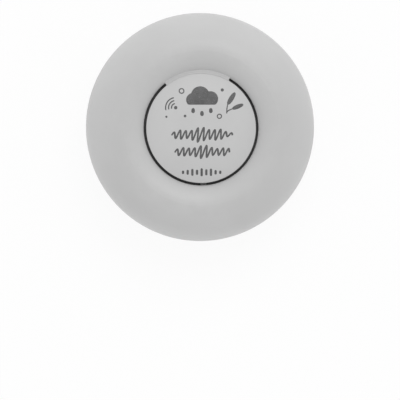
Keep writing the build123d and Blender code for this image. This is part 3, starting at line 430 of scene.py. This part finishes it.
GRAIN = effect("moulded grain", {"Cell": 0.3}, ["Height"], fill_moulded_grain)
DRIFT = effect("tone drift", {"Span": 20.0}, ["Value"], fill_drift)
HANDLING = effect("handling polish", {"Radius": 20.0, "Width": 6.0}, ["Mask"], fill_handling)
DUST = effect("settled dust", {"Amount": 0.5}, ["Mask"], fill_dust)
LINES = effect("drawn lines", {"Pitch": 0.1}, ["Value"], fill_drawn_lines)
WEAVE = effect("plain weave", {"Thread": 0.4}, ["Height", "Mask"], fill_weave)


# --- Finishes ---------------------------------------------------------------------------------------------


def new_finish(name, **numbers):
    """A material with one Principled shader. Numbers that are the same all over go on its own sockets."""
    material = bpy.data.materials.new(name)
    material.use_nodes = True
    tree = Tree(material.node_tree)
    shader = material.node_tree.nodes["Principled BSDF"]
    for label, value in numbers.items():
        shader.inputs[label.replace("_", " ")].default_value = value
    return material, tree, shader


def use(tree, group, **numbers):
    """The outputs of a shared effect, placed in a material with its own numbers."""
    node = tree.tree.nodes.new("ShaderNodeGroup")
    node.node_tree = group
    for label, value in numbers.items():
        node.inputs[label].default_value = value
    return node.outputs


def relief(tree, shader, height, depth):
    """A bump of a depth in millimetres under a height."""
    bump = tree.add("ShaderNodeBump", Height=height)
    bump.inputs["Distance"].default_value = depth * MM
    bump.inputs["Strength"].default_value = 1.0
    tree.feed(shader.inputs["Normal"], bump.outputs[0])


def shade(colour, factor=1.0):
    """A colour with its light scaled by a factor, and opaque."""
    return tuple(channel * factor for channel in colour) + (1.0,)


def moulded(name, colour, rough, cell=0.35, depth=0.006, drift=0.02, polish=None, dust=0.0, **numbers):
    """Moulded plastic: drifting tone and eroded grain, smoother and slightly darker where it is handled."""
    material, tree, shader = new_finish(name, **numbers)
    tone = use(tree, DRIFT, Span=26.0)["Value"]
    share = tree.spread(tone, -1.0, 1.0)
    surface = tree.blend(share, shade(colour, 1 - drift), shade(colour, 1 + drift))
    height = use(tree, GRAIN, Cell=cell)["Height"]
    roughness = tree.spread(height, 0.0, 0.8, rough - 0.04, rough + 0.05)
    if polish:
        touched = use(tree, HANDLING, Radius=polish[0], Width=polish[1])["Mask"]
        worn = shade(colour, 0.93)
        surface = tree.blend(tree.math("MULTIPLY", touched, 0.35), surface, worn)
        roughness = tree.math("SUBTRACT", roughness, tree.math("MULTIPLY", touched, 0.08))
    if dust:
        specks = use(tree, DUST, Amount=dust)["Mask"]
        dust_colour = shade((0.75, 0.74, 0.72))
        surface = tree.blend(specks, surface, dust_colour)
    tree.feed(shader.inputs["Base Color"], surface)
    tree.feed(shader.inputs["Roughness"], roughness)
    relief(tree, shader, height, depth)
    return material


def drawn_metal(name, colour, rough, pitch=0.12, depth=0.004, drift=0.06):
    """Rolled, drawn or plated metal with fine lines and a cloudy plating."""
    material, tree, shader = new_finish(name, Metallic=1.0)
    lines = use(tree, LINES, Pitch=pitch)["Value"]
    tone = use(tree, DRIFT, Span=6.0)["Value"]
    cloudy = tree.blend(tree.spread(tone, -1.0, 1.0), shade(colour, 1 - drift), shade(colour, 1 + drift))
    tree.feed(shader.inputs["Base Color"], cloudy)
    tree.feed(shader.inputs["Roughness"], tree.spread(lines, 0.2, 0.8, rough - 0.07, rough + 0.1))
    relief(tree, shader, lines, depth)
    return material


def woven(name, dark, light, thread, depth, rough=0.9):
    """Cloth with threads that cross over each other."""
    material, tree, shader = new_finish(name)
    cloth = use(tree, WEAVE, Thread=thread)
    tree.feed(shader.inputs["Base Color"], tree.blend(cloth["Mask"], shade(dark), shade(light)))
    tree.feed(shader.inputs["Roughness"], tree.spread(cloth["Height"], 0.0, 1.2, rough - 0.08, rough))
    relief(tree, shader, cloth["Height"], depth)
    return material


def printed_ink():
    """A thin pad print: flat grey with pinholes and a faint unevenness."""
    material, tree, shader = new_finish("print_ink")
    tone = use(tree, DRIFT, Span=3.0)["Value"]
    thick, thin = shade((0.068, 0.068, 0.069)), shade((0.086, 0.086, 0.087))
    base = tree.blend(tree.spread(tone, -1.0, 1.0), thick, thin)
    height = use(tree, GRAIN, Cell=0.22)["Height"]
    holes = tree.spread(height, 0.02, 0.12, 1.0, 0.0)
    bare_disc = shade((0.4, 0.4, 0.4))
    tree.feed(shader.inputs["Base Color"], tree.blend(holes, base, bare_disc))
    tree.feed(shader.inputs["Roughness"], tree.spread(height, 0.0, 0.8, 0.46, 0.58))
    relief(tree, shader, height, 0.003)
    return material


def solder_mask():
    """Green board lacquer over copper tracks, which show as lighter, raised bands."""
    material, tree, shader = new_finish("board_laminate", Coat_Weight=0.3, Coat_Roughness=0.2)
    place = tree.millimetres()
    tracks = tree.add("ShaderNodeTexBrick", Vector=place, Scale=0.55, Mortar_Size=0.09, Mortar_Smooth=0.2)
    band = tracks.outputs["Fac"]
    bare, over_track = shade((0.008, 0.075, 0.028)), shade((0.02, 0.14, 0.05))
    tree.feed(shader.inputs["Base Color"], tree.blend(band, bare, over_track))
    tree.feed(shader.inputs["Roughness"], tree.spread(band, 0.0, 1.0, 0.34, 0.42))
    relief(tree, shader, band, 0.02)
    return material


def wound_copper():
    """Lacquered copper wire, wound in turns that stand out as |sin(pi * height / wire)|, with painted shade
    and highlight.
    """
    wire = 0.2
    material, tree, shader = new_finish("coil_copper", Metallic=1.0)
    height = tree.add("ShaderNodeSeparateXYZ", _0=tree.millimetres()).outputs[2]
    turns = tree.math("ABSOLUTE", tree.math("SINE", tree.math("MULTIPLY", height, math.pi / wire)))
    # Painted shade in the hollows between the turns, and a painted highlight on their crowns
    painted_hollow_shade, painted_crown_highlight = shade((0.28, 0.09, 0.03)), shade((0.62, 0.24, 0.08))
    tree.feed(shader.inputs["Base Color"], tree.blend(turns, painted_hollow_shade, painted_crown_highlight))
    tree.feed(shader.inputs["Roughness"], tree.spread(turns, 0.0, 1.0, 0.42, 0.28))
    relief(tree, shader, turns, 0.05)
    return material


def pressed_paper():
    """Black cone paper: long fibres pressed flat."""
    material, tree, shader = new_finish("cone_paper")
    fibres = tree.add("ShaderNodeTexNoise", Vector=tree.millimetres(), Scale=2.2, Detail=6.0, Roughness=0.75)
    fibre = fibres.outputs[0]
    deep, raised = shade((0.006, 0.006, 0.006)), shade((0.022, 0.021, 0.02))
    tree.feed(shader.inputs["Base Color"], tree.blend(fibre, deep, raised))
    tree.feed(shader.inputs["Roughness"], tree.spread(fibre, 0.3, 0.7, 0.82, 0.95))
    relief(tree, shader, fibre, 0.03)
    return material


def grey(level):
    """A colour with the same level in all three channels."""
    return (level, level, level)


# Moulded pieces: colour, roughness, and where their grain, tone or coat is their own
MOULDED = {
    "case_plastic": (grey(0.5), 0.5, {"polish": (31.7, 9.0), "dust": 0.25}),
    "disc_plastic": (grey(0.525), 0.49, {"polish": (9.0, 13.0), "dust": 0.25}),
    # gap_film: the sheet under the disc's gap; its near-black grey is painted shade for the gap
    "gap_film": (grey(0.06), 0.6, {"cell": 0.25, "depth": 0.008, "drift": 0.1}),
    "foot_rubber": (grey(0.02), 0.82, {"cell": 0.5, "depth": 0.02, "drift": 0.12}),
    "inner_plastic": (grey(0.03), 0.5, {"depth": 0.01, "drift": 0.08}),
    "gasket_foam": (grey(0.015), 0.95, {"cell": 0.4, "depth": 0.08, "drift": 0.2}),
    "surround_rubber": (grey(0.008), 0.6, {"cell": 0.6, "depth": 0.01, "drift": 0.15}),
    "lead_black": (grey(0.008), 0.42, {"cell": 0.8, "depth": 0.01, "drift": 0.1}),
    "lead_red": ((0.4, 0.015, 0.01), 0.4, {"cell": 0.8, "depth": 0.01, "drift": 0.08}),
    "connector_plastic": ((0.75, 0.72, 0.62), 0.45, {"drift": 0.04, "Subsurface_Weight": 0.1}),
    "tongue_plastic": (grey(0.008), 0.4, {"cell": 0.2, "depth": 0.004}),
    "led_plastic": ((0.75, 0.75, 0.65), 0.3, {"cell": 0.5, "depth": 0.003, "Subsurface_Weight": 0.2}),
    "light_pipe": (grey(0.008), 0.4, {"cell": 0.3, "depth": 0.006, "Coat_Weight": 0.1}),
    "switch_plastic": (grey(0.01), 0.45, {"cell": 0.25}),
    "chip_plastic": (grey(0.01), 0.55, {"cell": 0.18, "depth": 0.01}),
    "ferrite": ((0.03, 0.03, 0.032), 0.6, {"cell": 0.3, "depth": 0.02, "drift": 0.2}),
    "chip_ceramic": (grey(0.02), 0.25, {"cell": 0.3, "depth": 0.002}),
    "basket_steel": (grey(0.012), 0.35, {"cell": 0.7, "depth": 0.01, "Coat_Weight": 0.3}),
}

# Metal pieces: colour, roughness, and where their lines are their own
METALS = {
    "spring_steel": ((0.45, 0.45, 0.43), 0.3, {}),
    "screw_steel": ((0.42, 0.42, 0.41), 0.34, {"pitch": 0.2}),
    "pot_steel": ((0.45, 0.45, 0.43), 0.38, {"pitch": 0.3}),
    "magnet_alloy": ((0.5, 0.5, 0.49), 0.18, {"pitch": 0.5, "depth": 0.002}),
    "terminal_brass": ((0.6, 0.42, 0.14), 0.32, {}),
    "socket_steel": (grey(0.035), 0.34, {"pitch": 0.08}),
    "contact_gold": ((0.8, 0.55, 0.2), 0.25, {"pitch": 0.06, "depth": 0.001}),
    "can_aluminium": ((0.6, 0.6, 0.62), 0.3, {"pitch": 0.15}),
    "cell_foil": ((0.5, 0.5, 0.52), 0.4, {"pitch": 0.6, "depth": 0.02}),
}

FINISHES = {
    "vent_cloth": woven("vent_cloth", grey(0.003), grey(0.012), 0.45, 0.08),
    "spider_cloth": woven("spider_cloth", (0.3, 0.18, 0.03), (0.6, 0.4, 0.1), 0.35, 0.05),
    "cone_paper": pressed_paper(),
    "board_laminate": solder_mask(),
    "coil_copper": wound_copper(),
    "print_ink": printed_ink(),
}
for make, kinds in ((moulded, MOULDED), (drawn_metal, METALS)):
    for name, (colour, rough, own) in kinds.items():
        FINISHES[name] = make(name, colour, rough, **own)

for part in frame["record"]["subparts"]:
    node = frame["nodes"][part["node"]]
    node.data.materials.clear()
    node.data.materials.append(FINISHES[part["material_slot"]])


# --- Added pieces -----------------------------------------------------------------------------------------


def tongue_contacts():
    """Flat contacts on both faces of the socket's tongue: one bar's corners, shifted by k * pitch along X."""
    count, pitch, width, length, thickness = 12, 0.5, 0.26, 3.55, 0.03
    setback = 0.35  # behind the tongue's front
    levels = (0.345, -0.375)  # of the bars' undersides, from the tongue's middle
    low, high = (np.array(corner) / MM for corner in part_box("socket_tongue"))
    start = (-width / 2, low[1] + setback, (low[2] + high[2]) / 2)
    corners = [(x, y, z) for z in (0, 1) for x, y in ((0, 0), (1, 0), (1, 1), (0, 1))]
    bar = np.array(corners, float) * (width, length, thickness) + start
    quads = np.array([(3, 2, 1, 0), (4, 5, 6, 7), (0, 1, 5, 4), (1, 2, 6, 5), (2, 3, 7, 6), (3, 0, 4, 7)])
    shifts = [(pitch * (k - (count - 1) / 2), 0, level) for level in levels for k in range(count)]
    points = bar[None] + np.array(shifts)[:, None]
    faces = quads[None] + 8 * np.arange(len(shifts))[:, None, None]
    return points.reshape(-1, 3), faces.reshape(-1, 4).tolist()


upper_wave = wave_line(start=-11.9, end=12.7, level=-2.6, swell=upper_swell, cycles=10.5)
lower_wave = wave_line(start=-10.6, end=11.5, level=-9.6, swell=lower_swell, cycles=9.5)
surface_piece("print_cloud", rain_cloud(), "top_disc", "print_ink")
surface_piece("print_small_motifs", small_motifs(), "top_disc", "print_ink")
surface_piece("print_waves", joined([upper_wave, lower_wave]), "top_disc", "print_ink")
surface_piece("print_level_bars", level_bars(), "top_disc", "print_ink")
surface_piece("tongue_contacts", tongue_contacts(), "case", "contact_gold")


# --- Floor, light and camera ------------------------------------------------------------------------------


def seen_directly(tree):
    """1 for the camera's rays and for reflections, and 0 for the light that falls on the object."""
    rays = tree.add("ShaderNodeLightPath").outputs
    return tree.math("MAXIMUM", rays["Is Camera Ray"], rays["Is Glossy Ray"])


def pale_floor():
    """A wide level floor. It takes the object's shadow, and shows white to the eye and in reflections."""
    reach, glow_share = 6, 0.9
    mesh = bpy.data.meshes.new("floor")
    corners = [(-reach, -reach, 0), (reach, -reach, 0), (reach, reach, 0), (-reach, reach, 0)]
    mesh.from_pydata(corners, [], [(0, 1, 2, 3)])
    material = bpy.data.materials.new("floor")
    material.use_nodes = True
    tree = Tree(material.node_tree)
    material.node_tree.nodes.remove(material.node_tree.nodes["Principled BSDF"])
    matt = tree.add("ShaderNodeBsdfDiffuse", Color=(0.93, 0.93, 0.93, 1.0))
    glow = tree.add("ShaderNodeEmission", Color=(1, 1, 1, 1), Strength=1.0)
    share = tree.math("MULTIPLY", seen_directly(tree), glow_share)
    mix = tree.add("ShaderNodeMixShader", _0=share, _1=matt.outputs[0], _2=glow.outputs[0])
    tree.feed(material.node_tree.nodes["Material Output"].inputs["Surface"], mix.outputs[0])
    mesh.materials.append(material)
    floor = bpy.data.objects.new("floor", mesh)
    bpy.context.scene.collection.objects.link(floor)


def soft_lamp(name, azimuth, elevation, distance, size, power):
    """A square area lamp that faces the object from a direction in degrees."""
    data = bpy.data.lights.new(name, "AREA")
    data.size = size
    data.energy = power
    lamp = bpy.data.objects.new(name, data)
    bpy.context.scene.collection.objects.link(lamp)
    level = distance * math.cos(math.radians(elevation))
    lamp.location = (
        level * math.cos(math.radians(azimuth)),
        level * math.sin(math.radians(azimuth)),
        distance * math.sin(math.radians(elevation)),
    )
    lamp.rotation_euler = (math.radians(90 - elevation), 0, math.radians(azimuth + 90))
    lamp.visible_camera = False


def sky(low, high):
    """A sky that shows as plain white. It lights with one strength at the horizon and another overhead."""
    world = bpy.data.worlds.new("sky")
    bpy.context.scene.world = world
    world.use_nodes = True
    tree = Tree(world.node_tree)
    back = world.node_tree.nodes["Background"]
    back.inputs["Color"].default_value = (1, 1, 1, 1)
    seen = seen_directly(tree)
    direction = tree.add("ShaderNodeTexCoord").outputs["Generated"]
    upward = tree.add("ShaderNodeSeparateXYZ", _0=direction).outputs[2]
    drop = tree.math("MULTIPLY", tree.math("MAXIMUM", upward, 0.0), low - high)
    unseen = tree.math("SUBTRACT", 1.0, seen)
    lit = tree.math("MULTIPLY", tree.math("SUBTRACT", low, drop), unseen)
    tree.feed(back.inputs["Strength"], tree.math("MAXIMUM", seen, lit))


def overhead_camera():
    """A long lens high over the machine, a little to the left and the back, with +Y up in the frame."""
    aside, lens_height, aim_depth = 0.022, 0.9633, 0.94
    data = bpy.data.cameras.new("camera")
    data.sensor_width = 36
    data.lens = 203
    data.shift_y = -0.18235
    data.clip_end = 30
    camera = bpy.data.objects.new("camera", data)
    bpy.context.scene.collection.objects.link(camera)
    camera.location = (-aside, aside, lens_height)
    away = math.atan2(aside, aim_depth)
    camera.rotation_euler = (-away, -away, 0)
    bpy.context.scene.camera = camera


bpy.context.scene.view_settings.view_transform = "Standard"
pale_floor()
sky(low=1.5, high=0.43)
soft_lamp("key", azimuth=77, elevation=58, distance=1.6, size=0.9, power=7.2)
overhead_camera()
